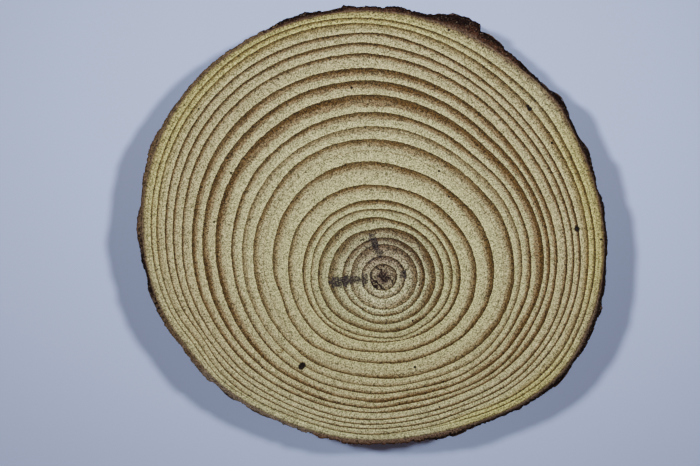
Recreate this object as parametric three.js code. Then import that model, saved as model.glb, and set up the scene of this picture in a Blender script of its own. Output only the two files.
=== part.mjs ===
// A slice sawn straight across a young pine stem: a round of wood with its bark still on.
//
// Millimetres, +Z up, the slice lying flat. +X runs along its longest way across. The origin is on
// the surface that the slice lies on, under the middle of the slice. The pith, which the rings grew
// round, is well off that middle, because the stem leaned and grew faster on its upper side.

import * as THREE from "three";

// Driving dimensions.
const THICKNESS = 12;
const CAMBIUM = 56.1; // mean radius of the wood, where it meets the bark
const RING_RELIEF = 0.3; // how far the soft early wood lies below the hard late wood on the sawn face
const RING_EDGE = 0.3; // width of the step down from one year's late wood to the next year's early wood
const WOOD_SIDES = 120; // flat sides round the wood
const BARK_SIDES = 240; // flat sides round the bark, two to each side of the wood

// Mean radius of the wood at the end of each year, from the pith outwards.
const YEARS = [
  3.5, 5.6, 8.6, 10.4, 13.1, 15.5, 17.5, 19.3, 23.0, 27.0, 31.9,
  34.5, 36.9, 40.1, 42.6, 44.9, 47.4, 49.3, 51.1, 52.7, 54.2,
];

// How the stem's section changed as it grew. At a mean radius: how far the ring's middle had moved
// from the pith, then how much it is oval, three-cornered and four-cornered, each as a share of the
// radius and the way it points, in degrees.
const GROWTH = [
  { radius: 0, drift: [0, 0], oval: [0, 0], three: [0, -8], four: [0, -30] },
  { radius: 10.4, drift: [0.1, 0.1], oval: [0.022, 0], three: [0, -8], four: [0, -30] },
  { radius: 13.1, drift: [-0.2, 0.4], oval: [0.044, -6], three: [0.005, -8], four: [0, -30] },
  { radius: 15.5, drift: [-0.7, 0.6], oval: [0.048, -7], three: [0.01, -11], four: [0, -30] },
  { radius: 19.3, drift: [-0.6, 1.4], oval: [0.054, -9], three: [0.014, -14], four: [0, -30] },
  { radius: 23.0, drift: [-0.5, 2.0], oval: [0.053, -11], three: [0.018, -10], four: [0, -30] },
  { radius: 27.0, drift: [-0.4, 3.6], oval: [0.051, -14], three: [0.022, -6], four: [0, -30] },
  { radius: 31.9, drift: [-0.2, 4.6], oval: [0.049, -16], three: [0.018, -5], four: [0, -30] },
  { radius: 36.9, drift: [-0.8, 6.0], oval: [0.04, -18], three: [0.018, -6], four: [0.002, -30] },
  { radius: 42.6, drift: [-2.1, 8.1], oval: [0.041, -23], three: [0.017, -7], four: [0.003, -30] },
  { radius: 51.1, drift: [-2.7, 11.2], oval: [0.043, -30], three: [0.018, -9], four: [0.004, -30] },
  { radius: 56.1, drift: [-2.1, 13.0], oval: [0.042, -23], three: [0.009, -10], four: [0.007, -30] },
];

// Swellings and hollows of the rings: where round the stem, how wide, how high, and the mean radii
// between which the stem grew with them.
const SWELLINGS = [
  { at: 17, width: 24, height: 0.4, from: 32, to: 42 },
  { at: 52, width: 11, height: -0.5, from: 32, to: 42 },
  { at: 90, width: 13, height: 0.4, from: 32, to: 42 },
  { at: 342, width: 13, height: -0.4, from: 32, to: 42 },
  { at: 13, width: 20, height: 0.2, from: 41, to: Infinity },
  { at: 91, width: 18, height: 0.4, from: 41, to: Infinity },
  { at: 183, width: 14, height: 0.6, from: 41, to: Infinity },
  { at: 232, width: 18, height: -0.7, from: 41, to: Infinity },
  { at: 268, width: 20, height: 0.6, from: 41, to: Infinity },
  { at: 305, width: 12, height: -0.4, from: 41, to: Infinity },
  { at: 200, width: 7, height: -0.3, from: 47, to: Infinity },
  { at: 333, width: 10, height: 0.5, from: 51, to: Infinity },
  { at: 46.5, width: 10, height: 0.95, from: 52, to: Infinity },
];
const SWELLING_FADE = 4; // of mean radius, over which a swelling comes and goes

// Thickness of the bark at the sawn face, every 15 degrees from +X.
const BARK = [
  1.1, 1.0, 1.3, 1.1, 1.5, 1.9, 1.3, 1.4, 1.05, 1.05, 1.4, 1.0,
  1.1, 1.3, 1.5, 1.2, 0.9, 1.3, 1.2, 1.4, 1.3, 1.15, 1.35, 1.5,
];

// Loose bark scales: each stands out from the rest, between two heights on the edge of the slice.
const SCALES = [
  { at: 73.6, width: 8.6, height: 2.6, low: 2.5, high: 12 },
  { at: 65.8, width: 7.4, height: 1.1, low: 5, high: 12 },
  { at: 59.5, width: 4, height: 0.4, low: 2, high: 12 },
  { at: 45, width: 5, height: 1.1, low: 1, high: 12 },
  { at: 32, width: 4, height: 0.4, low: 6, high: 12 },
  { at: 96.5, width: 4, height: 0.6, low: 0, high: 12 },
  { at: 111, width: 5, height: 0.5, low: 4, high: 12 },
  { at: 149.5, width: 4, height: 0.4, low: 1, high: 12 },
  { at: 171, width: 10, height: 0.6, low: 2, high: 12 },
  { at: 184.5, width: 5, height: 0.3, low: 0, high: 12 },
  { at: 209, width: 5, height: 0.3, low: 3, high: 12 },
  { at: 248.5, width: 3, height: 0.4, low: 5, high: 12 },
  { at: 350.5, width: 4, height: 0.4, low: 2, high: 12 },
];

// The plates that the rest of the bark is cracked into. Each rises along its length to a free edge.
const PLATES = 23; // round the slice
const PLATE_ROWS = 3; // up the edge of the slice
const PLATE_RISE = 0.4;
const PLATE_SHIFT = 0.4; // of a plate's length, from one row to the next
const PLATE_UNEVEN = 0.3; // of a plate's length
const BARK_LEVELS = 10; // rows of faces up the bark
const MIN_BARK = 0.6;

const { degToRad: radians, radToDeg: degrees, lerp, smoothstep } = THREE.MathUtils;

// How far one way round the slice is from another, in degrees, at most 180.
const apart = (one, other) => Math.abs(((one - other + 540) % 360) - 180);

// How far a shape with this many corners stands out in the direction `turn`, as a share of its
// radius, given its greatest share and the way that its first corner points.
const lobe = (corners, [share, points], turn) => share * Math.cos(corners * (turn - radians(points)));

// Distance from the pith, in the direction `turn`, of the ring with this mean radius.
function ringReach(radius, turn) {
  let later = 1;
  while (later < GROWTH.length - 1 && GROWTH[later].radius < radius) {
    later++;
  }
  const [a, b] = [GROWTH[later - 1], GROWTH[later]];
  const t = (radius - a.radius) / (b.radius - a.radius);
  const between = (name) => [lerp(a[name][0], b[name][0], t), lerp(a[name][1], b[name][1], t)];
  const [driftX, driftY] = between("drift");
  const lobes =
    lobe(2, between("oval"), turn) + lobe(3, between("three"), turn) + lobe(4, between("four"), turn);
  let reach = radius * (1 + lobes) + driftX * Math.cos(turn) + driftY * Math.sin(turn);
  for (const { at, width, height, from, to } of SWELLINGS) {
    const begun = smoothstep(radius, from, from + SWELLING_FADE);
    const ended = smoothstep(radius, to, to + SWELLING_FADE);
    reach += height * (begun - ended) * Math.exp(-((apart(degrees(turn), at) / width) ** 2));
  }
  return reach;
}

// Distance from the pith, in the direction `turn`, of the wood's outside as it is modelled, which is
// in flat sides.
function woodSide(turn) {
  const side = (2 * Math.PI) / WOOD_SIDES;
  const first = Math.floor(turn / side + 1e-6) * side;
  const [a, b] = [ringReach(CAMBIUM, first), ringReach(CAMBIUM, first + side)];
  return (a * b * Math.sin(side)) / (a * Math.sin(turn - first) + b * Math.sin(first + side - turn));
}

// How far a bark plate's surface stands out at this place: nothing where it comes out from under
// its neighbour, and all of the rise at its free edge.
function plateRise(turn, height) {
  const row = Math.floor((PLATE_ROWS * (height + Math.sin(3 * turn))) / THICKNESS);
  const even = (turn * PLATES) / (2 * Math.PI) + PLATE_SHIFT * row;
  const place = even + PLATE_UNEVEN * Math.sin(5 * turn + 2 * row);
  return PLATE_RISE * (place - Math.floor(place));
}

// Thickness of the bark in the direction `turn` at a height on the edge.
function barkAt(turn, height) {
  const place = (((degrees(turn) + 360) % 360) / 360) * BARK.length;
  const i = Math.floor(place);
  const own = lerp(BARK[i], BARK[(i + 1) % BARK.length], place - i);
  let scale = 0;
  for (const s of SCALES) {
    const across = 1 - smoothstep(apart(degrees(turn), s.at), 0.4 * s.width, 0.55 * s.width);
    const upright = smoothstep(height, s.low - 1, s.low) * (1 - smoothstep(height, s.high, s.high + 1));
    scale = Math.max(scale, s.height * across * upright);
  }
  return Math.max(MIN_BARK, own + scale + plateRise(turn, height) - PLATE_RISE / 2);
}

// A lathed body, stood on +Z, with every point then moved out to where `reach` puts it.
function grow(profile, sides, reach) {
  const geometry = new THREE.LatheGeometry(profile, sides).rotateX(Math.PI / 2);
  const points = geometry.getAttribute("position");
  for (let i = 0; i < points.count; i++) {
    const [x, y, z] = [points.getX(i), points.getY(i), points.getZ(i)];
    const turn = Math.atan2(y, x);
    const out = reach(Math.hypot(x, y), turn, z);
    points.setXYZ(i, out * Math.cos(turn), out * Math.sin(turn), z);
  }
  return geometry;
}

// The wood: flat below, and above a crest at the end of each year's late wood.
function makeWood() {
  const profile = [new THREE.Vector2(0, 0), new THREE.Vector2(CAMBIUM, 0)];
  profile.push(new THREE.Vector2(CAMBIUM, THICKNESS));
  for (const year of [...YEARS].reverse()) {
    profile.push(new THREE.Vector2(year + RING_EDGE / 2, THICKNESS - RING_RELIEF));
    profile.push(new THREE.Vector2(year - RING_EDGE / 2, THICKNESS));
  }
  profile.push(new THREE.Vector2(0, THICKNESS - RING_RELIEF));
  const material = new THREE.MeshStandardMaterial({ color: 0xc9bf93, roughness: 0.75 });
  const mesh = new THREE.Mesh(grow(profile, WOOD_SIDES, ringReach), material);
  mesh.name = "wood";
  return mesh;
}

// The bark: a rind all round the wood, grown onto it, sawn off level with it above and below.
function makeBark() {
  const profile = [new THREE.Vector2(CAMBIUM, 0)];
  for (let level = 0; level <= BARK_LEVELS; level++) {
    profile.push(new THREE.Vector2(CAMBIUM + 1, (THICKNESS * level) / BARK_LEVELS));
  }
  profile.push(new THREE.Vector2(CAMBIUM, THICKNESS), new THREE.Vector2(CAMBIUM, 0));
  const reach = (radius, turn, height) => {
    const outside = Math.round(radius - CAMBIUM); // 0 against the wood, 1 on the bark's outside
    return woodSide(turn) + outside * barkAt(turn, height);
  };
  const material = new THREE.MeshStandardMaterial({ color: 0x3a2218, roughness: 0.95 });
  const mesh = new THREE.Mesh(grow(profile, BARK_SIDES, reach), material);
  mesh.name = "bark";
  return mesh;
}

const slice = new THREE.Group();
slice.add(makeWood(), makeBark());

// The middle of the slice goes over the origin.
const middle = new THREE.Box3().setFromObject(slice).getCenter(new THREE.Vector3());
slice.position.set(-middle.x, -middle.y, 0);

export default slice;
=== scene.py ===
import math

import bmesh
import bpy
import numpy as np
from mathutils import Matrix, Vector, noise


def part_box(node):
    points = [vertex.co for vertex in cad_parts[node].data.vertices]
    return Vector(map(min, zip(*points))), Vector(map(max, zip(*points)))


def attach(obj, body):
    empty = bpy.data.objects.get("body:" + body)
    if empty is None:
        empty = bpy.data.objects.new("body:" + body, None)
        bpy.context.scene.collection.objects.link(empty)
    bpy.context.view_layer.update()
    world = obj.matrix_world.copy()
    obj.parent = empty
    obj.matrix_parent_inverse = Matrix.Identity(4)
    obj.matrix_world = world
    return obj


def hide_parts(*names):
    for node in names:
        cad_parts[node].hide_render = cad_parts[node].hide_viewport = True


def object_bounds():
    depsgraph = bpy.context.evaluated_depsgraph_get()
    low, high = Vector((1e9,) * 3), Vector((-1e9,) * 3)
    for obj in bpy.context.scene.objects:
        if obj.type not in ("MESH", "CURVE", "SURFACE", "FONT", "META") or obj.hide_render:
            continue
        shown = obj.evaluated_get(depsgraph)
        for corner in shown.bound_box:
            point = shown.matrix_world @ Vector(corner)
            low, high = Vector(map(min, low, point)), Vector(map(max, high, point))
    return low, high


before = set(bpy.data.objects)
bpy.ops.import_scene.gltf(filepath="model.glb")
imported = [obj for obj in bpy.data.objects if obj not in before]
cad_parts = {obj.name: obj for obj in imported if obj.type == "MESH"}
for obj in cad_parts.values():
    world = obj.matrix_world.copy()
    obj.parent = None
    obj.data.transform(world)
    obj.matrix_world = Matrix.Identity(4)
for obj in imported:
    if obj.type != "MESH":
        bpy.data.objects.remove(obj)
cad_low, cad_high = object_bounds()

# Wood
# One round sawn across a young pine stem, bare and matt. It grew as 22 yearly rings about a pith
# that lies well off the middle, each ring pale in spring and brown by autumn. The saw leaves the
# harder brown wood a little proud of the pale wood.
MM = 0.001
THICKNESS = 12.0
CAMBIUM = 56.1
RING_RELIEF = 0.09
RING_EDGE = 0.12
HALF_WAY_UP = 0.55
WOOD_STEPS = 480
SECTORS = 24
MERGE_WITHIN = 0.0005
CAD_SIDES = 120

# The mean radius at which each year's growth ended.
YEARS = (3.5, 5.6, 8.6, 10.4, 13.1, 15.5, 17.5, 19.3, 23.0, 27.0, 31.9, 34.5,
         36.9, 40.1, 42.6, 44.9, 47.4, 49.3, 51.1, 53.1, 54.4, CAMBIUM)

# By mean radius: the drift from the pith in x and y, then how oval, three-cornered and
# four-cornered a ring is, each as a share of its radius and the heading of its first corner.
GROWTH = (
    (0.0, 0.0, 0.0, 0.0, 0, 0.0, -8, 0.0, -30),
    (10.4, 0.1, 0.1, 0.022, 0, 0.0, -8, 0.0, -30),
    (13.1, -0.2, 0.4, 0.044, -6, 0.005, -8, 0.0, -30),
    (15.5, -0.7, 0.6, 0.048, -7, 0.01, -11, 0.0, -30),
    (19.3, -0.6, 1.4, 0.054, -9, 0.014, -14, 0.0, -30),
    (23.0, -0.5, 2.0, 0.053, -11, 0.018, -10, 0.0, -30),
    (27.0, -0.4, 3.6, 0.051, -14, 0.022, -6, 0.0, -30),
    (31.9, -0.2, 4.6, 0.049, -16, 0.018, -5, 0.0, -30),
    (36.9, -0.8, 6.0, 0.04, -18, 0.018, -6, 0.002, -30),
    (42.6, -2.1, 8.1, 0.041, -23, 0.017, -7, 0.003, -30),
    (51.1, -2.7, 11.2, 0.043, -30, 0.018, -9, 0.004, -30),
    (CAMBIUM, -2.1, 13.0, 0.042, -23, 0.009, -10, 0.007, -30),
)

# Places where a stretch of the rings bulges out or in: the heading, the width in degrees, the
# height, and the mean radii between which it lasts.
SWELLINGS = (
    (17, 24, 0.4, 32, 42),
    (52, 11, -0.5, 32, 42),
    (90, 13, 0.4, 32, 42),
    (342, 13, -0.4, 32, 42),
    (13, 20, 0.2, 41, 99),
    (91, 18, 0.4, 41, 99),
    (183, 14, 0.6, 41, 99),
    (232, 18, -0.7, 41, 99),
    (268, 20, 0.6, 41, 99),
    (305, 12, -0.4, 41, 99),
    (200, 7, -0.3, 47, 99),
    (333, 10, 0.5, 51, 99),
    (46.5, 10, 0.95, 52, 99),
)
SWELLING_FADE = 4.0

# Smaller waves in the edge of one year alone: its age, the heading, the width in degrees, and how
# far the edge moves out.
RING_WAVES = (
    (3, 165, 15, -0.3), (4, 235, 12, -0.3),
    (5, 55, 15, 0.3), (5, 105, 14, -0.5), (5, 183, 10, 0.4), (5, 235, 20, -0.45),
    (6, 80, 12, -0.25), (6, 240, 20, -0.35), (6, 290, 18, 0.4),
    (7, 95, 15, -0.3), (7, 170, 12, -0.3), (7, 215, 12, 0.35), (7, 285, 16, 0.5),
    (9, 90, 18, -0.5), (9, 150, 18, 0.3), (9, 225, 14, 0.35), (9, 262, 14, -0.45),
    (10, 32, 12, 0.3), (10, 80, 12, -0.25), (10, 190, 9, -0.65), (10, 220, 11, 0.65),
    (10, 285, 12, 0.45),
    (11, 30, 10, 0.3), (11, 145, 11, -0.45), (11, 230, 10, 0.35), (11, 280, 12, 0.3),
    (12, 0, 22, -0.5), (12, 118, 34, -0.6), (12, 272, 14, 0.4), (12, 315, 20, 0.3),
    (13, 10, 15, -0.35), (13, 125, 12, -0.3), (13, 268, 12, 0.5), (13, 305, 18, 0.35),
    (14, 8, 25, 0.35), (14, 128, 10, -0.3), (14, 235, 12, -0.45), (14, 268, 9, 0.65),
    (15, 131, 10, -0.3), (15, 225, 16, -0.25), (15, 266, 9, 0.4), (15, 315, 18, 0.35),
    (16, 0, 10, -0.3), (16, 35, 20, -0.45), (16, 215, 16, 0.25), (16, 262, 14, -0.3),
    (16, 325, 10, -0.3),
    (17, 47, 12, -0.45), (17, 95, 7, 0.35), (17, 165, 12, -0.25), (17, 214, 7, 0.25),
    (17, 300, 8, 0.3),
    (18, 50, 16, -0.35), (18, 95, 6, 0.4), (18, 335, 12, -0.25),
    (19, 52, 20, -0.45), (19, 90, 8, 0.55), (19, 197, 6, -0.55), (19, 216, 8, 0.3),
    (19, 289, 9, 0.25), (19, 325, 14, -0.3),
    (20, 4, 14, -0.3), (20, 48, 22, -0.55), (20, 105, 22, 0.6), (20, 199, 7, -0.45),
    (20, 221, 12, 0.4), (20, 265, 14, 0.35), (20, 303, 6, -0.3),
    (21, 45, 24, -0.55), (21, 112, 22, 0.7), (21, 198, 6, -0.4), (21, 214, 6, 0.4),
    (21, 245, 20, -0.5), (21, 290, 14, -0.4),
)


def smooth(x, low, high):
    share = np.clip((x - low) / (high - low), 0, 1)
    return share * share * (3 - 2 * share)


def apart(turn, heading):
    """How many degrees lie between a turn in radians and a heading in degrees."""
    return np.abs((np.degrees(turn) - heading + 540) % 360 - 180)


def reach(radius, turn):
    """How far from the pith a ring of that mean radius lies at that turn."""
    grown = np.array(GROWTH)
    drift_x, drift_y, *corners = (np.interp(radius, grown[:, 0], column) for column in grown.T[1:])
    lies = radius + drift_x * np.cos(turn) + drift_y * np.sin(turn)
    for count, share, heading in zip((2, 3, 4), corners[::2], corners[1::2]):
        lies += radius * share * np.cos(count * (turn - np.radians(heading)))
    for heading, width, height, start, end in SWELLINGS:
        lasts = smooth(radius, start, start + SWELLING_FADE)
        lasts = lasts - smooth(radius, end, end + SWELLING_FADE)
        lies += height * lasts * np.exp(-(apart(turn, heading) / width) ** 2)
    return lies


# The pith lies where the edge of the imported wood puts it.
cad_turns = np.radians(np.arange(CAD_SIDES) * 360 / CAD_SIDES)
cad_edge = reach(np.full(CAD_SIDES, CAMBIUM), cad_turns)
wood_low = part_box("wood")[0]
PITH_X = wood_low.x / MM - (cad_edge * np.cos(cad_turns)).min()
PITH_Y = wood_low.y / MM - (cad_edge * np.sin(cad_turns)).min()


def spun(profile, closed, steps):
    """A bmesh of a profile of (radius, height) points turned full circle about the z axis.
    One sector is spun from the profile, and the rest of the circle from that sector."""
    shape = bmesh.new()
    points = [shape.verts.new((radius, 0, height)) for radius, height in profile]
    for first, second in zip(points, points[1:]):
        shape.edges.new((first, second))
    if closed:
        shape.edges.new((points[-1], points[0]))
    turns = (
        (math.tau / SECTORS, steps // SECTORS, False),
        (math.tau * (SECTORS - 1) / SECTORS, SECTORS - 1, True),
    )
    for angle, count, copies in turns:
        bmesh.ops.spin(
            shape, geom=shape.verts[:] + shape.edges[:] + shape.faces[:], cent=(0, 0, 0),
            axis=(0, 0, 1), dvec=(0, 0, 0), angle=angle, space=Matrix(), steps=count,
            use_merge=False, use_normal_flip=False, use_duplicate=copies)
    bmesh.ops.remove_doubles(shape, verts=shape.verts[:], dist=MERGE_WITHIN)
    bmesh.ops.recalc_face_normals(shape, faces=shape.faces[:])
    return shape


def piece_of(shape, name):
    """A smooth-shaded object made of a bmesh, and the places of its points as rows."""
    mesh = bpy.data.meshes.new(name)
    shape.to_mesh(mesh)
    shape.free()
    mesh.shade_smooth()
    piece = bpy.data.objects.new(name, mesh)
    bpy.context.collection.objects.link(piece)
    points = np.empty(len(mesh.vertices) * 3)
    mesh.vertices.foreach_get("co", points)
    return piece, points.reshape(-1, 3)


def put(piece, points):
    """Moves a piece's points to places in millimetres from the pith."""
    placed = (points + (PITH_X, PITH_Y, 0)) * MM
    piece.data.vertices.foreach_set("co", placed.ravel())
    piece.data.update()


def note(piece, name, values):
    """Keeps one number for each point of a piece, for its material to read."""
    kept = piece.data.attributes.new(name, "FLOAT", "POINT")
    kept.data.foreach_set("value", values.astype(np.float32))


# Each ring falls off at its inner edge and climbs to its outer edge: the radius and the drop.
crests = []
for start, end in zip((0.0, *YEARS), YEARS):
    if start:
        crests.append((start + RING_EDGE, RING_RELIEF))
    crests.append((start + HALF_WAY_UP * (end - start), RING_RELIEF / 2))
    crests.append((end, 0.0))
top = [(0.0, THICKNESS - RING_RELIEF)] + [(radius, THICKNESS - drop) for radius, drop in crests]
underside = [(radius, drop) for radius, drop in reversed(crests)] + [(0.0, RING_RELIEF)]
side = [(CAMBIUM, THICKNESS * share) for share in (0.8, 0.6, 0.4, 0.2)]

wood, points = piece_of(spun(top + side + underside, False, WOOD_STEPS), "wood_round")
radius = np.hypot(points[:, 0], points[:, 1])
turn = np.arctan2(points[:, 1], points[:, 0])
age = np.interp(radius, (0.0, *YEARS), np.arange(len(YEARS) + 1))
lies = reach(radius, turn)
for year, heading, width, height in RING_WAVES:
    in_year = np.clip(1 - np.abs(age - year), 0, 1)
    lies += height * in_year * np.exp(-(apart(turn, heading) / width) ** 2)
put(wood, np.stack((lies * np.cos(turn), lies * np.sin(turn), points[:, 2]), 1))
note(wood, "age", age)
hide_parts("wood")
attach(wood, "root")


class Signal:
    """One output of a shader node. Sums on signals add Math nodes, and node adds any other."""

    def __init__(self, tree, socket=None):
        self.tree = tree
        self.socket = socket

    def node(self, kind, settings, sockets, output=0):
        made = self.tree.nodes.new("ShaderNode" + kind)
        for name, value in settings.items():
            if name == "stops":
                ramp = made.color_ramp
                while len(ramp.elements) < len(value):
                    ramp.elements.new(1)
                for element, (position, colour) in zip(ramp.elements, value):
                    element.position = position
                    element.color = (*colour, 1)
            elif name == "steps":
                made.color_ramp.interpolation = value
            else:
                setattr(made, name, value)
        for key, value in sockets.items():
            socket = made.inputs[key]
            if isinstance(value, Signal):
                self.tree.links.new(value.socket, socket)
            elif socket.type == "RGBA":
                socket.default_value = (*value, 1)
            else:
                socket.default_value = value
        return Signal(self.tree, made.outputs[output])

    def math(self, operation, *others):
        return self.node("Math", {"operation": operation}, dict(enumerate((self, *others))))

    def __add__(self, other):
        return self.math("ADD", other)

    def __radd__(self, other):
        return self.math("ADD", other)

    def __sub__(self, other):
        return self.math("SUBTRACT", other)

    def __rsub__(self, other):
        return (self * -1).math("ADD", other)

    def __mul__(self, other):
        return self.math("MULTIPLY", other)

    def __rmul__(self, other):
        return self.math("MULTIPLY", other)

    def __truediv__(self, other):
        return self.math("DIVIDE", other)

    def rise(self, low, high):
        """0 up to low, 1 from high on, and a smooth slope between; high may be the lesser."""
        slope = {"interpolation_type": "SMOOTHSTEP"}
        return self.node("MapRange", slope, {"Value": self, "From Min": low, "From Max": high})

    def blend(self, low, high):
        """The colour low where this signal is 0, and the colour high where it is 1."""
        return self.node("Mix", {"data_type": "RGBA"}, {0: self, 6: low, 7: high}, 2)

    def vector(self, operation, *others, output=0):
        sockets = dict(enumerate((self, *others)))
        return self.node("VectorMath", {"operation": operation}, sockets, output)

    def noise(self, scale, detail=2.0):
        """Cloudy noise about 0.5 on this vector."""
        return self.node("TexNoise", {}, {"Vector": self, "Scale": scale, "Detail": detail})

    def swing(self, amount):
        """Noise about 0.5 turned into noise about 0, times an amount."""
        return (self - 0.5) * amount

    def part(self, output):
        """One of the three numbers of this vector or colour."""
        return self.node("SeparateXYZ", {}, {0: self}, output)

    def grey(self):
        """A colour or vector that has this number three times."""
        return self.node("CombineXYZ", {}, {0: self, 1: self, 2: self})

    def times(self, other):
        """This colour multiplied by another."""
        settings = {"data_type": "RGBA", "blend_type": "MULTIPLY"}
        return self.node("Mix", settings, {0: 1.0, 6: self, 7: other}, 2)

    def ramp(self, stops, steps="LINEAR"):
        """The colour of a ramp at this signal, from stops of a position and a colour."""
        return self.node("ValToRGB", {"steps": steps, "stops": stops}, {0: self})


def finish(name, roughness, gloss):
    """A new material, its shader node, and a signal to start its nodes from."""
    material = bpy.data.materials.new(name)
    material.use_nodes = True
    shader = material.node_tree.nodes["Principled BSDF"]
    shader.inputs["Roughness"].default_value = roughness
    shader.inputs["Specular IOR Level"].default_value = gloss
    return material, shader, Signal(material.node_tree)


def from_pith(start):
    """Where a point of a piece is: in metres, in millimetres, in millimetres across from the pith,
    and how far east and north its heading from the pith goes."""
    place = start.node("TexCoord", {}, {}, "Object")
    whole = place.vector("MULTIPLY", (1 / MM, 1 / MM, 1 / MM))
    flat = place.vector("MULTIPLY_ADD", (1 / MM, 1 / MM, 0), (-PITH_X, -PITH_Y, 0))
    heading = flat.vector("NORMALIZE")
    return place, whole, flat, heading.part(0), heading.part(1)


def paint(shader, colour, relief, depth, strength):
    """Gives a shader its colour, and a relief of that depth in metres."""
    bump = colour.node("Bump", {}, {"Height": relief, "Distance": depth, "Strength": strength})
    colour.tree.links.new(colour.socket, shader.inputs["Base Color"])
    colour.tree.links.new(bump.socket, shader.inputs["Normal"])


# The end grain of each year: how much of the ring is brown, how brown, and how dark its outer edge.
YEAR_LOOKS = (
    (0.30, 0.40, 0.90),
    (0.40, 0.50, 0.85),
    (0.42, 0.55, 0.60),
    (0.50, 0.75, 0.65),
    (0.52, 0.80, 0.60),
    (0.42, 0.85, 0.75),
    (0.30, 0.65, 0.70),
    (0.46, 0.85, 0.85),
    (0.27, 0.75, 0.80),
    (0.27, 0.80, 0.80),
    (0.24, 0.75, 0.75),
    (0.34, 0.50, 0.60),
    (0.34, 0.85, 0.85),
    (0.45, 1.00, 0.90),
    (0.42, 1.00, 0.95),
    (0.42, 0.95, 0.85),
    (0.25, 0.85, 0.85),
    (0.30, 0.90, 0.90),
    (0.30, 0.90, 0.90),
    (0.34, 0.60, 0.65),
    (0.38, 0.60, 0.65),
    (0.22, 0.30, 0.20),
)
# The wood is greyer and darker near the pith and yellower under the bark: a tint by year.
YEAR_TINTS = (
    (0, (0.60, 0.58, 0.70)),
    (2, (0.72, 0.72, 0.84)),
    (4, (0.78, 0.82, 0.90)),
    (6, (0.86, 0.91, 0.88)),
    (8, (0.96, 0.98, 0.94)),
    (12, (0.98, 1.00, 0.99)),
    (14, (0.96, 0.95, 0.95)),
    (19, (0.98, 0.96, 0.95)),
    (20.5, (1.02, 1.04, 1.00)),
    (22, (0.92, 0.93, 0.94)),
)
# Thin brown lines within a year, where growth paused: the age at which each lies, its width in
# years, and how dark it is.
FALSE_RINGS = (
    (2.55, 0.05, 0.45),
    (2.76, 0.05, 0.5),
    (9.72, 0.04, 0.35),
    (10.47, 0.035, 0.55),
    (11.62, 0.06, 0.5),
    (19.45, 0.09, 0.45),
    (21.4, 0.08, 0.5),
)
PALE_WOOD = (0.49, 0.455, 0.202)
SUMMER_WOOD = (0.39, 0.345, 0.165)
TAN_WOOD = (0.205, 0.148, 0.068)
BROWN_WOOD = (0.092, 0.052, 0.015)
EDGE_WOOD = (0.055, 0.038, 0.014)
TORN_BROWN = (0.15, 0.10, 0.055)
PORE_BROWN = (0.09, 0.062, 0.03)
STAIN_BLACK = (0.032, 0.025, 0.022)
# Painted shade: the black inside each wormhole.
HOLE_SHADE_BLACK = (0.012, 0.008, 0.006)
CORE_BROWN = (0.085, 0.058, 0.04)
PITH_BLACK = (0.016, 0.009, 0.007)
# The stem made more brown wood on its right than on its left.
BROWN_SIDE = Vector((0.9, 0.42))
# Under the bark the wood is yellow at the upper left, and a little at the right and the lower
# right: the direction, and how near to it the yellow begins.
YELLOW_SIDES = ((-0.5, 0.87, 0.45), (0.96, 0.28, 0.85), (0.7, -0.7, 0.85))
YELLOW_YEARS = (19.0, 20.3)
YELLOW_TINT = (0.98, 0.97, 0.72)
# On its narrow lower side the outer wood is paler and greener.
GREEN_YEARS = (13.0, 18.0)
GREEN_TINT = (1.05, 1.12, 1.17)

material, shader, start = finish("sawn pine end grain", 0.82, 0.15)
place, whole, flat, east, north = from_pith(start)
far = flat.vector("LENGTH", output=1)
age = start.node("Attribute", {"attribute_name": "age"}, {}, "Fac")


def rays(across, along):
    """Noise drawn out along the rays that run from the pith to the bark."""
    ray = start.node("CombineXYZ", {}, {0: east * across, 1: north * across, 2: far * along})
    return ray.noise(1.0)


# The rings wander a little: by how many years, and over patches of what size.
WANDER = 0.14
WANDER_SCALE = 0.45
phase = age + whole.noise(WANDER_SCALE, 3.0).swing(WANDER)
share = phase.math("FRACT")
year = phase / len(YEARS)
year_stops = [count / len(YEARS) for count in range(len(YEARS))]
# The ring widths go through the ramp in centimetres, which keeps them below 1.
widths = [((end - begin) / 10,) * 3 for begin, end in zip((0.0, *YEARS), YEARS)]
width = year.ramp(list(zip(year_stops, widths)), "CONSTANT").part(0) * 10
looks = year.ramp(list(zip(year_stops, YEAR_LOOKS)), "CONSTANT")
late, depth, edge_depth = (looks.part(output) for output in range(3))

# The brown wood is broader and darker on some sides of a ring than on others: the least share of
# it, how much noise adds, and how much more the brown side has.
LATE_VARIES = (0.35, 1.3, 0.12)
DEPTH_VARIES = (0.5, 1.0, 0.15)
# Rays comb its inner edge: how far the fine and the coarse ones do, in widths of the brown wood.
FINE_COMB = 0.6
COARSE_COMB = 0.4
# Where its tan and its brown begin and are full, in its widths from the ring's outer edge.
TAN_FROM, TAN_FULL = 1.4, 1.05
BROWN_FROM, BROWN_FULL = 0.85, 0.55
# The dark line at the ring's outer edge, in millimetres from it.
EDGE_FROM, EDGE_FULL = 0.6, 0.1
EDGE_BROWN_SIDE = 0.25

side = east * BROWN_SIDE.x + north * BROWN_SIDE.y
comb = rays(110, 0.6)
coarse_comb = rays(34, 0.4)


def varied(amount, patches, least, varies, brown_side):
    """An amount of brown wood that changes with patches of noise and with the side of the ring."""
    return amount * (least + patches * varies) * (1.0 + side * brown_side)


late = varied(late, rays(2.6, 0.3), *LATE_VARIES)
depth = varied(depth, rays(3.7, 0.33), *DEPTH_VARIES)
combed = share + (comb.swing(FINE_COMB) + coarse_comb.swing(COARSE_COMB)) * late
tan = combed.rise(1 - TAN_FROM * late, 1 - TAN_FULL * late) * depth
brown = combed.rise(1 - BROWN_FROM * late, 1 - BROWN_FULL * late) * depth
to_edge = (1 - share) * width
edge = to_edge.rise(EDGE_FROM, EDGE_FULL) * edge_depth
edge = edge * (0.45 + coarse_comb) * (1.0 + side * EDGE_BROWN_SIDE)

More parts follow.
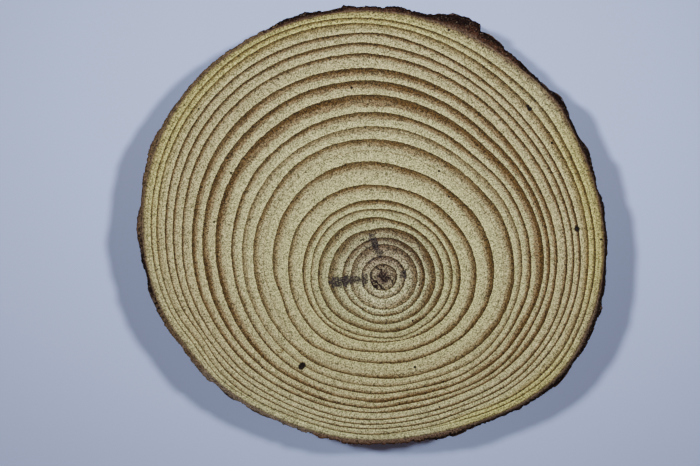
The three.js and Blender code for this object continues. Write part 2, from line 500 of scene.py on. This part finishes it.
# The pale wood darkens from spring to summer, unevenly, and the brown lies over it.
PATCH_SCALE = 0.12
PATCH_SWING = 0.9
summer = share.rise(0.05, 0.75) + whole.noise(PATCH_SCALE).swing(PATCH_SWING)
colour = summer.blend(PALE_WOOD, SUMMER_WOOD)
for at, wide, dark in FALSE_RINGS:
    line = (phase - at).math("ABSOLUTE").rise(wide, wide * 0.2)
    colour = (line * dark * (0.3 + coarse_comb * 1.2)).blend(colour, BROWN_WOOD)
colour = tan.blend(colour, TAN_WOOD)
colour = brown.blend(colour, BROWN_WOOD)
colour = edge.blend(colour, EDGE_WOOD)

# The newest wood was torn by the saw and has browned, most of all at the right.
TORN_YEARS = (21.64, 21.96)
TORN_FINE = 0.9
TORN_COARSE = 0.7
ragged_age = phase + rays(160, 0.3).swing(TORN_FINE) + rays(24, 0.2).swing(TORN_COARSE)
torn_side = (east * 0.8 + north * 0.6).rise(-0.3, 0.8)
torn = ragged_age.rise(*TORN_YEARS) * (0.25 + torn_side * 0.55)
colour = torn.blend(colour, TORN_BROWN)

tints = [(count / len(YEARS), tint) for count, tint in YEAR_TINTS]
colour = colour.times(year.ramp(tints))
yellow = age.rise(*YELLOW_YEARS)
for east_share, north_share, from_share in YELLOW_SIDES:
    toward = (east * east_share + north * north_share).rise(from_share, 1.0)
    colour = (yellow * toward).blend(colour, colour.times(YELLOW_TINT))
green_side = age.rise(*GREEN_YEARS) * (north * -1).rise(0.2, 0.9)
colour = green_side.blend(colour, colour.times(GREEN_TINT))


def lots(vector, scale):
    """Cells of that many to the millimetre: how far each place is from its cell's middle, and a
    number drawn for the cell."""
    sockets = {"Vector": vector, "Scale": scale}
    middle = vector.node("TexVoronoi", {}, sockets, "Distance")
    return middle, vector.node("TexVoronoi", {}, sockets, "Color").part(0)


# Resin canals show as brown specks, most of them in the outer half of a ring, and smaller pores
# and torn fibres between them everywhere. Of each: how many cells to the millimetre, where in a
# cell it begins and is full, and the draws between which a cell comes to have one.
CANALS = (0.7, (0.16, 0.08), (0.45, 0.5))
PORES = (1.7, (0.34, 0.16), (0.84, 0.9))
PORE_DEPTH = 0.75
SPECK_DEPTH = 0.85


def specks(per_mm, extent, chosen):
    """1 at the middle of each cell that has a speck."""
    middle, drawn = lots(whole, per_mm)
    return middle.rise(*extent) * drawn.rise(*chosen)


canals = specks(*CANALS) * share.rise(0.1, 0.45)
canals = canals.math("MAXIMUM", specks(*PORES) * PORE_DEPTH)
colour = (canals * SPECK_DEPTH).blend(colour, PORE_BROWN)

# The oldest rings are brown above the pith and a greenish cream below it.
CORE_BROWNING = (0.33, 0.39, 0.33)
core = age.rise(5.6, 3.6) * age.rise(0.5, 1.2) * north
browned = {output: 1.0 - core * loss for output, loss in enumerate(CORE_BROWNING)}
colour = colour.times(start.node("CombineXYZ", {}, browned))


# Dark fungus stains, and wormholes painted black for their shade, on the sawn face only: it begins
# above half the thickness, between these heights in metres.
UPPER_FACE = (0.006, 0.007)
sawn = place.part(2).rise(*UPPER_FACE)
ragged = flat.noise(1.3, 3.0)
dotted = flat.noise(1.7).rise(0.62, 0.42)


def nearness(x, y, size):
    """1 within a round of that size at a place in millimetres from the pith, fading to 0."""
    return flat.vector("DISTANCE", (x, y, 0), output=1).rise(size * 1.3, size * 0.85)


def strip(start_x, start_y, end_x, end_y, half_width):
    """1 along a straight strip between two places, with a ragged edge."""
    along = Vector((end_x - start_x, end_y - start_y, 0))
    out = flat.vector("SUBTRACT", (start_x, start_y, 0))
    share_along = out.vector("DOT_PRODUCT", along / along.length_squared, output=1)
    kept = share_along.math("MINIMUM", 1).math("MAXIMUM", 0)
    nearest = start.node("CombineXYZ", {}, {0: kept * along.x, 1: kept * along.y, 2: 0})
    gap = out.vector("DISTANCE", nearest, output=1)
    frayed = gap + (ragged - 0.5) * (1.0 + half_width * 1.3)
    return frayed.rise(half_width + 0.2, half_width * 0.7)


# Each stain: from one place to another in millimetres from the pith, half its width, how dark.
STAINS = (
    (-12.6, -1.2, -9.6, -1.1, 1.5, 1.0),
    (-9.6, -0.8, -6.9, -0.5, 1.15, 0.9),
    (-6.3, -0.6, -5.7, -1.6, 0.7, 0.55),
    (-2.9, 10.2, -1.9, 8.2, 0.95, 0.95),
    (-1.9, 8.2, -0.8, 5.6, 0.75, 0.85),
    (-4.4, 7.6, -3.0, 8.3, 0.5, 0.5),
    (-4.45, 0.4, -4.35, -1.2, 0.5, 0.8),
    (-5.2, 0.9, -5.05, -2.1, 0.3, 0.95),
    (-3.2, 1.0, -2.9, -1.5, 0.22, 0.9),
    (-2.9, -1.5, -1.9, -2.8, 0.15, 0.6),
    (-3.7, 3.8, -2.2, 5.1, 0.16, 0.8),
    (5.45, 1.7, 5.55, 0.0, 0.4, 1.0),
    (4.75, 1.1, 4.7, 0.1, 0.35, 0.9),
)
for *places, half_width, dark in STAINS:
    stain = strip(*places, half_width) * sawn * dark * (0.72 + dotted * 0.28)
    colour = stain.blend(colour, STAIN_BLACK)

# A curled splinter that the saw left lies below and left of the pith: where its two curls are,
# and their radius.
SPLINTER = ((-26.5, -18.4, 0.85), (-26.0, -18.2, 0.5))
for x, y, size in SPLINTER:
    curl = (flat.vector("DISTANCE", (x, y, 0), output=1) - size).math("ABSOLUTE").rise(0.2, 0.08)
    under = (flat.part(1) - y).rise(0.05, -0.15)
    colour = (curl * under * sawn * 0.85).blend(colour, BROWN_WOOD)

# Each wormhole, painted black for the shade inside it, with a dent in the relief: its place in
# millimetres from the pith, and its radius.
HOLES = (
    (49.6, 12.4, 0.68),
    (37.1, 43.8, 0.45),
    (37.5, 43.1, 0.55),
    (-20.6, -22.5, 0.75),
    (-21.0, -22.9, 0.75),
    (8.1, -23.0, 0.3),
    (-31.0, -23.2, 0.25),
    (15.4, -26.8, 0.25),
    (14.4, -33.2, 0.25),
    (-47.2, 43.1, 0.25),
    (-26.9, 50.8, 0.25),
    (-8.1, 48.5, 0.3),
    (-43.3, 14.2, 0.25),
    (-39.0, 26.7, 0.3),
    (55.8, 9.7, 0.3),
    (16.8, 20.6, 0.25),
    (14.3, 27.2, 0.3),
    (16.8, 63.3, 0.3),
    (43.2, 34.4, 0.3),
    (9.2, -2.0, 0.25),
    (7.5, -11.1, 0.25),
    (-5.7, 9.5, 0.2),
    (-5.2, 9.6, 0.2),
)
holes = nearness(*HOLES[0])
for x, y, size in HOLES[1:]:
    holes = holes.math("MAXIMUM", nearness(x, y, size))
# Painted shade: each hole is black on the flat sawn face.
colour = (holes * sawn).blend(colour, HOLE_SHADE_BLACK)

# The pith is a thin core of soft brown cells, with near-black crumbs in and around it.
scattered = flat + flat.node("TexNoise", {}, {"Vector": flat, "Scale": 1.1}, "Color")
middle, drawn = lots(scattered, 1.9)
crumbs = (drawn + far * 0.25).rise(1.02, 0.92) * middle.rise(0.75, 0.55)
colour = (far.rise(2.3, 1.4) * 0.9).blend(colour, CORE_BROWN)
colour = crumbs.blend(colour, PITH_BLACK)

# Fine grain and straight saw marks, for colour and for relief. The grain is roughest about the
# pith.
SAW_HEADING = (0, 0, -0.6)
SAW_STRETCH = (0.5, 2.6, 0.5)
grain = whole.noise(1.9, 1.0)
fine = whole.noise(3.8, 1.0)
marks = {"Vector": whole, "Rotation": SAW_HEADING, "Scale": SAW_STRETCH}
saw = start.node("Mapping", {}, marks).noise(1.0)
rough = 1.0 + age.rise(6.0, 2.0) * 0.5
shade = (grain.swing(0.7) + fine.swing(4.2)) * rough + comb.swing(0.8) + saw.swing(0.3)

# A painted highlight: the first spring wood outside each brown edge is drawn paler. The slice is
# a little darker towards its top, by so much a millimetre, and hardly at all towards its left.
HIGHLIGHT_GAIN = 0.14
DARKER_UP = 0.002
PALER_RIGHT = 0.0004
DARKEST_GRAIN = 0.22
spring_highlight = (share * width).rise(0.55, 0.1)
shade = shade + 1.0 + spring_highlight * HIGHLIGHT_GAIN - flat.part(1) * DARKER_UP + flat.part(0) * PALER_RIGHT
colour = colour.times(shade.math("MAXIMUM", DARKEST_GRAIN).grey())
relief = grain * 0.5 + fine * 0.3 + comb * 0.3 + saw * 0.4 + brown * 0.4 - holes * 4 - canals * 1.5
paint(shader, colour, relief, 0.00008, 0.5)
wood.data.materials.append(material)

# Bark
# The thin scaly rind of a young pine. It parted from the wood a little when the slice dried, is
# sawn off level with it, and is made of papery layers that flake off in plates.
BARK_STEPS = 1440
OUTER_LEVELS = 36
SHARES_ABOVE = (0.0, 0.15, 0.3, 0.45, 0.6, 0.75, 0.88, 0.96)
SHARES_BELOW = (0.8, 0.5, 0.2, 0.0)
# How far the inside of the rind is tucked into the wood, and how far from both faces it begins.
TUCK = 0.2
TUCK_INSET = 0.1
# Its plates are taller than wide, and bent by noise, with grooves between them.
PLATE_SIZE = 4.2
PLATE_SQUASH = 0.62
PLATE_BEND = 0.25
GROOVE_WIDTH = 0.16
LEAST_BARK = 0.35
# How far in millimetres each of these moves its surface.
PLATE_LIFT = 0.28
GROOVE_DEPTH = 0.22
CRUMB_HEIGHT = 0.22
JAG_HEIGHT = 0.3
LEDGE_HEIGHT = 0.12
# Near the sawn face the plates stand out less, so that the edge keeps the outline of the photo.
CALM_HEIGHT = 1.2
CALM_SHARE = 0.35
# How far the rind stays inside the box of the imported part.
MARGIN = 0.005
# Noise vectors follow the clock until they are seeded, and every run has to give the same bark.
SEED = 22
noise.seed_set(SEED)

# The thickness of the bark by heading, read round the sawn edge.
BARK_THICKNESS = (
    (0, 1.15), (5, 0.9), (10, 1.0), (15, 1.0), (20, 1.3), (23, 0.6), (25, 1.0), (30, 1.4), (32, 1.8),
    (35, 1.0), (40, 1.1), (42, 1.6), (45, 2.15), (46.5, 1.8), (48, 0.9), (50, 0.8), (55, 1.05),
    (60, 2.0), (62, 1.8), (62.6, 2.4), (66, 2.7), (69.1, 2.7), (69.5, 4.3), (72, 4.5), (75, 4.1),
    (76, 3.4), (77.6, 3.1), (78, 2.7), (80, 1.85), (85, 1.5), (86.5, 2.0), (90, 1.35), (95, 1.35),
    (97.8, 2.1), (98.4, 1.3), (101.5, 0.95), (105, 1.4), (106, 1.75), (110, 1.65), (111.5, 1.8),
    (113, 1.4), (115, 0.95), (120, 1.05), (145, 1.05), (149, 1.7), (155, 1.45), (160, 1.1),
    (164, 0.9), (168, 1.8), (170, 1.55), (175, 1.25), (180, 0.85), (183, 1.45), (190, 1.25),
    (195, 1.35), (200, 1.15), (205, 1.45), (210, 1.65), (212, 1.2), (220, 1.4), (221, 1.0),
    (225, 1.25), (230, 1.1), (235, 0.85), (240, 0.75), (243, 1.1), (245, 0.75), (248, 1.5),
    (250, 1.1), (257, 1.4), (270, 1.1), (275, 1.35), (285, 1.45), (288, 1.7), (295, 1.55),
    (300, 1.2), (314, 1.2), (316.5, 1.5), (320, 1.25), (328, 1.5), (335, 1.15), (340, 1.65),
    (345, 1.5), (351.8, 1.9), (352.6, 1.45), (355, 1.25), (360, 1.15),
)


def thickness(turn):
    return np.interp(np.degrees(turn) % 360, *np.array(BARK_THICKNESS).T)


# In the profile the rind is 1 thick. Its inside lies a hair within the wood's edge, and by that
# the points to tuck in are found.
inside = CAMBIUM - TUCK / 100
profile = [(inside, TUCK_INSET), (inside, THICKNESS - TUCK_INSET)]
profile += [(CAMBIUM + share, THICKNESS) for share in SHARES_ABOVE]
for count in range(OUTER_LEVELS + 1):
    profile.append((CAMBIUM + 1, THICKNESS * (1 - count / OUTER_LEVELS)))
profile += [(CAMBIUM + share, 0.0) for share in SHARES_BELOW]
bark, points = piece_of(spun(profile, True, BARK_STEPS), "bark_rind")
outward = np.hypot(points[:, 0], points[:, 1]) - CAMBIUM
turn = np.arctan2(points[:, 1], points[:, 0])
level = points[:, 2]
cambium = reach(np.full(len(points), CAMBIUM), turn)
lies = cambium + np.where(outward < -0.001, -TUCK, 0)
rise = np.zeros(len(points))
groove = np.zeros(len(points))
for index in np.flatnonzero(outward > 0.1):
    east_mm = cambium[index] * math.cos(turn[index])
    north_mm = cambium[index] * math.sin(turn[index])
    spot = Vector((east_mm, north_mm, level[index] * PLATE_SQUASH))
    bend = noise.noise_vector(spot * 0.35) * PLATE_BEND
    gaps, centres = noise.voronoi(spot / PLATE_SIZE + bend)
    groove[index] = 1 - min((gaps[1] - gaps[0]) / GROOVE_WIDTH, 1)
    lift = noise.cell(centres[0] * 9.1)
    crumb = noise.fractal(spot * 0.9, 0.7, 2.2, 4)
    jag = noise.noise(spot * 2.3)
    ledge = noise.noise(Vector((east_mm, north_mm, level[index] * 2.2)) * 0.55)
    rise[index] = (
        PLATE_LIFT * lift - GROOVE_DEPTH * groove[index] + CRUMB_HEIGHT * crumb
        + JAG_HEIGHT * jag + LEDGE_HEIGHT * ledge)
body = thickness(turn + 0.012 * np.sin(level * 1.3 + turn * 9))
near_top = smooth(level, THICKNESS - CALM_HEIGHT, THICKNESS)
full = np.maximum(body + rise * (1 - CALM_SHARE * near_top) - 0.1, LEAST_BARK)
lies = lies + np.where(outward > 0, np.minimum(outward, 1) * full, 0)
placed = np.stack((lies * np.cos(turn), lies * np.sin(turn), level), 1)
low = np.array(cad_low) / MM - (PITH_X, PITH_Y, 0) + (MARGIN, MARGIN, 0)
high = np.array(cad_high) / MM - (PITH_X, PITH_Y, 0) - (MARGIN, MARGIN, 0)
put(bark, np.clip(placed, low, high))
note(bark, "outward", np.clip(outward, 0, 1))
note(bark, "groove", groove)
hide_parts("bark")
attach(bark, "root")

MAROON = (0.045, 0.02, 0.011)
BLACK_BARK = (0.008, 0.004, 0.003)
OLIVE_BARK = (0.10, 0.068, 0.034)
GOLDEN_BARK = (0.085, 0.058, 0.031)
GREY_BARK = (0.135, 0.106, 0.072)
PINK_BARK = (0.12, 0.077, 0.049)
DULL_BARK = (0.075, 0.05, 0.033)
FIBRE_TAN = (0.19, 0.14, 0.09)
SIDE_BROWN = (0.10, 0.058, 0.036)
SIDE_GREY = (0.14, 0.105, 0.08)
# How the bark looks by heading: up to which heading, the colour inside, the colour outside, and
# from what share of its thickness it has the colour outside.
BARK_LOOKS = (
    (12, MAROON, BLACK_BARK, 0.2),
    (26, MAROON, BLACK_BARK, 0.45),
    (57, MAROON, BLACK_BARK, 0.3),
    (69, MAROON, BLACK_BARK, 0.7),
    (84, MAROON, BLACK_BARK, 0.4),
    (98, MAROON, BLACK_BARK, 0.7),
    (115, MAROON, BLACK_BARK, 0.45),
    (158, OLIVE_BARK, MAROON, 0.9),
    (171, GOLDEN_BARK, MAROON, 0.9),
    (186, MAROON, BLACK_BARK, 0.25),
    (204, GOLDEN_BARK, DULL_BARK, 0.8),
    (246, GREY_BARK, DULL_BARK, 0.85),
    (280, PINK_BARK, MAROON, 0.75),
    (296, PINK_BARK, BLACK_BARK, 0.6),
    (320, DULL_BARK, BLACK_BARK, 0.5),
    (352, DULL_BARK, BLACK_BARK, 0.4),
    (360, MAROON, BLACK_BARK, 0.25),
)

material, shader, start = finish("pine bark", 0.9, 0.1)
place, whole, flat, east, north = from_pith(start)
# The heading as a share of a full turn, moved a little by noise.
turned = (north * -1).math("ARCTAN2", east * -1) / math.tau + 0.5
turned = turned + whole.noise(0.35).swing(0.03) + whole.noise(1.6).swing(0.06)
begins = [0] + [look[0] / 360 for look in BARK_LOOKS[:-1]]


def by_heading(values):
    """A colour that changes from each stretch of the bark to the next."""
    return turned.ramp(list(zip(begins, values)), "CONSTANT")


inner = by_heading([look[1] for look in BARK_LOOKS])
outer = by_heading([look[2] for look in BARK_LOOKS])
crust = by_heading([(look[3],) * 3 for look in BARK_LOOKS]).part(0)
outward = start.node("Attribute", {"attribute_name": "outward"}, {}, "Fac")
groove = start.node("Attribute", {"attribute_name": "groove"}, {}, "Fac")
blotch = whole.noise(0.9, 3.0)
speck = whole.noise(3.0)

# Its papery layers lie one outside the other, and show as streaks along the sawn edge.
sheets = outward * 7 + whole.part(2) * 1.1
layers = start.node("CombineXYZ", {}, {0: east * 65, 1: north * 65, 2: sheets}).noise(1.0, 3.0)
outer_share = (outward + blotch.swing(0.7) + layers.swing(1.3) - crust).rise(-0.1, 0.1)
colour = outer_share.blend(inner, outer)

# Pale fibres next to the wood, and flecks of the same tan anywhere.
fibres = (outward + speck.swing(1.2) + blotch.swing(0.5)).rise(0.24, 0.06)
colour = (fibres * 0.7).blend(colour, FIBRE_TAN)
flecks = whole.noise(2.1).rise(0.58, 0.68)
colour = (flecks * 0.35).blend(colour, FIBRE_TAN)

# The outside of the rind, below the sawn edge, is brown and grey with dark grooves, and smoother
# than its sawn edge. It begins between these heights in metres.
BELOW_EDGE = (0.0119, 0.0112)
SIDE_CALM = 0.62
DARKEST_BARK = 0.15
on_side = outward.rise(0.97, 0.995)
scaly = blotch.rise(0.4, 0.62).blend(SIDE_BROWN, SIDE_GREY)
scaly = groove.blend(scaly, MAROON)
colour = (on_side * place.part(2).rise(*BELOW_EDGE)).blend(colour, scaly)
streaks = speck.swing(4.4) + layers.swing(3.4)
shade = 1.0 + streaks * (1.0 - on_side * SIDE_CALM) + blotch.swing(1.6)
colour = colour.times(shade.math("MAXIMUM", DARKEST_BARK).grey())
paint(shader, colour, speck + blotch + layers, 0.0003, 0.7)
bark.data.materials.append(material)

# Loose scales
# Papery plates of the outermost bark that have come away from the rind but still cling to it.
# Each is a thin sheet bent round the slice, ragged at its edges, that stands off at one end.
SCALE_COUNT = 46
SCALE_THICKNESS = 0.16
SCALE_CELLS = (12, 10)
SCALE_JITTER = 0.4
SCALE_WIDTHS = (3.5, 8.5)
SCALE_HEIGHTS = (2.2, 5.2)
SCALE_PEELS = (0.15, 0.55)
SCALE_SKEW = 0.3
# How far a scale reaches above and below its middle, as a share of its height, and the least
# distance from there to either face.
SCALE_REACH = 0.8
FACE_GAP = 0.15
# How far it stands off where it is held, and how fine and how deep its ragged edges are.
STAND_OFF = 0.02
RAGGED_SCALE = 3.1
RAGGED_WIDTH = 0.3
RAGGED_HEIGHT = 0.35
RAGGED_FACE = 0.12
draws = np.random.default_rng(SEED)

loose = bmesh.new()
for count in range(SCALE_COUNT):
    jitter = draws.uniform(-SCALE_JITTER, SCALE_JITTER)
    scale_turn = math.radians((count + jitter) * 360 / SCALE_COUNT)
    width = draws.uniform(*SCALE_WIDTHS)
    height = draws.uniform(*SCALE_HEIGHTS)
    lowest = SCALE_REACH * height + FACE_GAP
    middle = draws.uniform(lowest, THICKNESS - SCALE_REACH * height - FACE_GAP)
    peel = draws.uniform(*SCALE_PEELS)
    lean = draws.choice((-1.0, 1.0))
    skew = draws.uniform(-SCALE_SKEW, SCALE_SKEW)
    columns, rows = SCALE_CELLS
    under = bmesh.ops.create_grid(loose, x_segments=columns, y_segments=rows, size=0.5)["verts"]
    faces = list(dict.fromkeys(face for point in under for face in point.link_faces))
    raised = bmesh.ops.extrude_face_region(loose, geom=faces, use_keep_orig=True)
    over = [part for part in raised["geom"] if isinstance(part, bmesh.types.BMVert)]
    for point, layer in [(point, 0) for point in under] + [(point, 1) for point in over]:
        across, up = point.co.x, point.co.y
        spot = Vector((across * RAGGED_SCALE, up * RAGGED_SCALE, count * 7.7))
        torn_by = noise.noise_vector(spot)
        narrow = 1 - 1.3 * up * up + RAGGED_WIDTH * torn_by.x
        tall = 1 - 1.5 * across * across + RAGGED_HEIGHT * torn_by.y
        level = middle + height * (up * tall + skew * across)
        turn = scale_turn + width * across * narrow / CAMBIUM
        stands = peel * max(0.0, 0.5 + lean * up) ** 2 + RAGGED_FACE * torn_by.z
        lies = float(reach(CAMBIUM, turn) + thickness(turn)) + STAND_OFF + stands
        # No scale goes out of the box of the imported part.
        steps = (math.cos(turn), math.sin(turn))
        room = min(max(low[axis] / step, high[axis] / step) for axis, step in enumerate(steps))
        lies = min(lies, room - SCALE_THICKNESS) + SCALE_THICKNESS * layer
        point.co = (lies * steps[0], lies * steps[1], level)
bmesh.ops.recalc_face_normals(loose, faces=loose.faces[:])
scales, points = piece_of(loose, "bark_scales")
put(scales, points)
note(scales, "outward", np.ones(len(points)))
note(scales, "groove", np.zeros(len(points)))
scales.data.materials.append(material)
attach(scales, "root")

# Studio
# The slice lies on a pale blue sheet under two small soft lamps, one high on each side and a
# little above it in the picture, each aimed across at the far side, in a dim room.
FLOOR_SIZE = 3.0
FLOOR_BLUE = (0.495, 0.62, 0.96)
FLOOR_CLOUDS = (0.98, 1.02)
LAMP_AWAY = 1.0
LAMP_SIZE = 0.131
LAMP_POWER = 0.170
LAMP_BEAM = 23.0
LAMP_AIM = (0.09, 0.022)
LAMP_HEADING = Vector((8.8, 3.6, 12.0)).normalized()
LAMP_BLUE = (0.96, 0.98, 1.06)
ROOM_LIGHT = (0.13, 0.088, 0.08)
LENS = 80.0
CAMERA_X = -5.74
CAMERA_Y = -2.21
CAMERA_Z = 410.2

sheet = bmesh.new()
bmesh.ops.create_grid(sheet, x_segments=1, y_segments=1, size=FLOOR_SIZE / 2)
floor_mesh = bpy.data.meshes.new("floor")
sheet.to_mesh(floor_mesh)
sheet.free()
floor = bpy.data.objects.new("floor", floor_mesh)
bpy.context.collection.objects.link(floor)
material, shader, start = finish("pale sheet", 0.7, 0.5)
place = start.node("TexCoord", {}, {}, "Object")
clouds = [tuple(part * by for part in FLOOR_BLUE) for by in FLOOR_CLOUDS]
colour = place.noise(9.0).blend(*clouds)
start.tree.links.new(colour.socket, shader.inputs["Base Color"])
floor.data.materials.append(material)

for name, side in (("lamp_left", -1), ("lamp_right", 1)):
    heading = Vector((side * LAMP_HEADING.x, LAMP_HEADING.y, LAMP_HEADING.z))
    light = bpy.data.lights.new(name, "AREA")
    light.shape = "DISK"
    light.size = LAMP_SIZE
    light.energy = LAMP_POWER
    light.color = LAMP_BLUE
    light.spread = math.radians(LAMP_BEAM)
    lamp = bpy.data.objects.new(name, light)
    lamp.location = heading * LAMP_AWAY
    beam = lamp.location - Vector((-side * LAMP_AIM[0], LAMP_AIM[1], 0))
    lamp.rotation_euler = beam.to_track_quat("Z", "Y").to_euler()
    bpy.context.collection.objects.link(lamp)

world = bpy.data.worlds.new("room")
world.use_nodes = True
world.node_tree.nodes["Background"].inputs["Color"].default_value = (*ROOM_LIGHT, 1)
bpy.context.scene.world = world

lens = bpy.data.cameras.new("camera")
lens.lens = LENS
lens.sensor_width = 36
lens.clip_start = 0.01
camera = bpy.data.objects.new("camera", lens)
camera.location = (CAMERA_X * MM, CAMERA_Y * MM, CAMERA_Z * MM)
bpy.context.collection.objects.link(camera)
bpy.context.scene.camera = camera
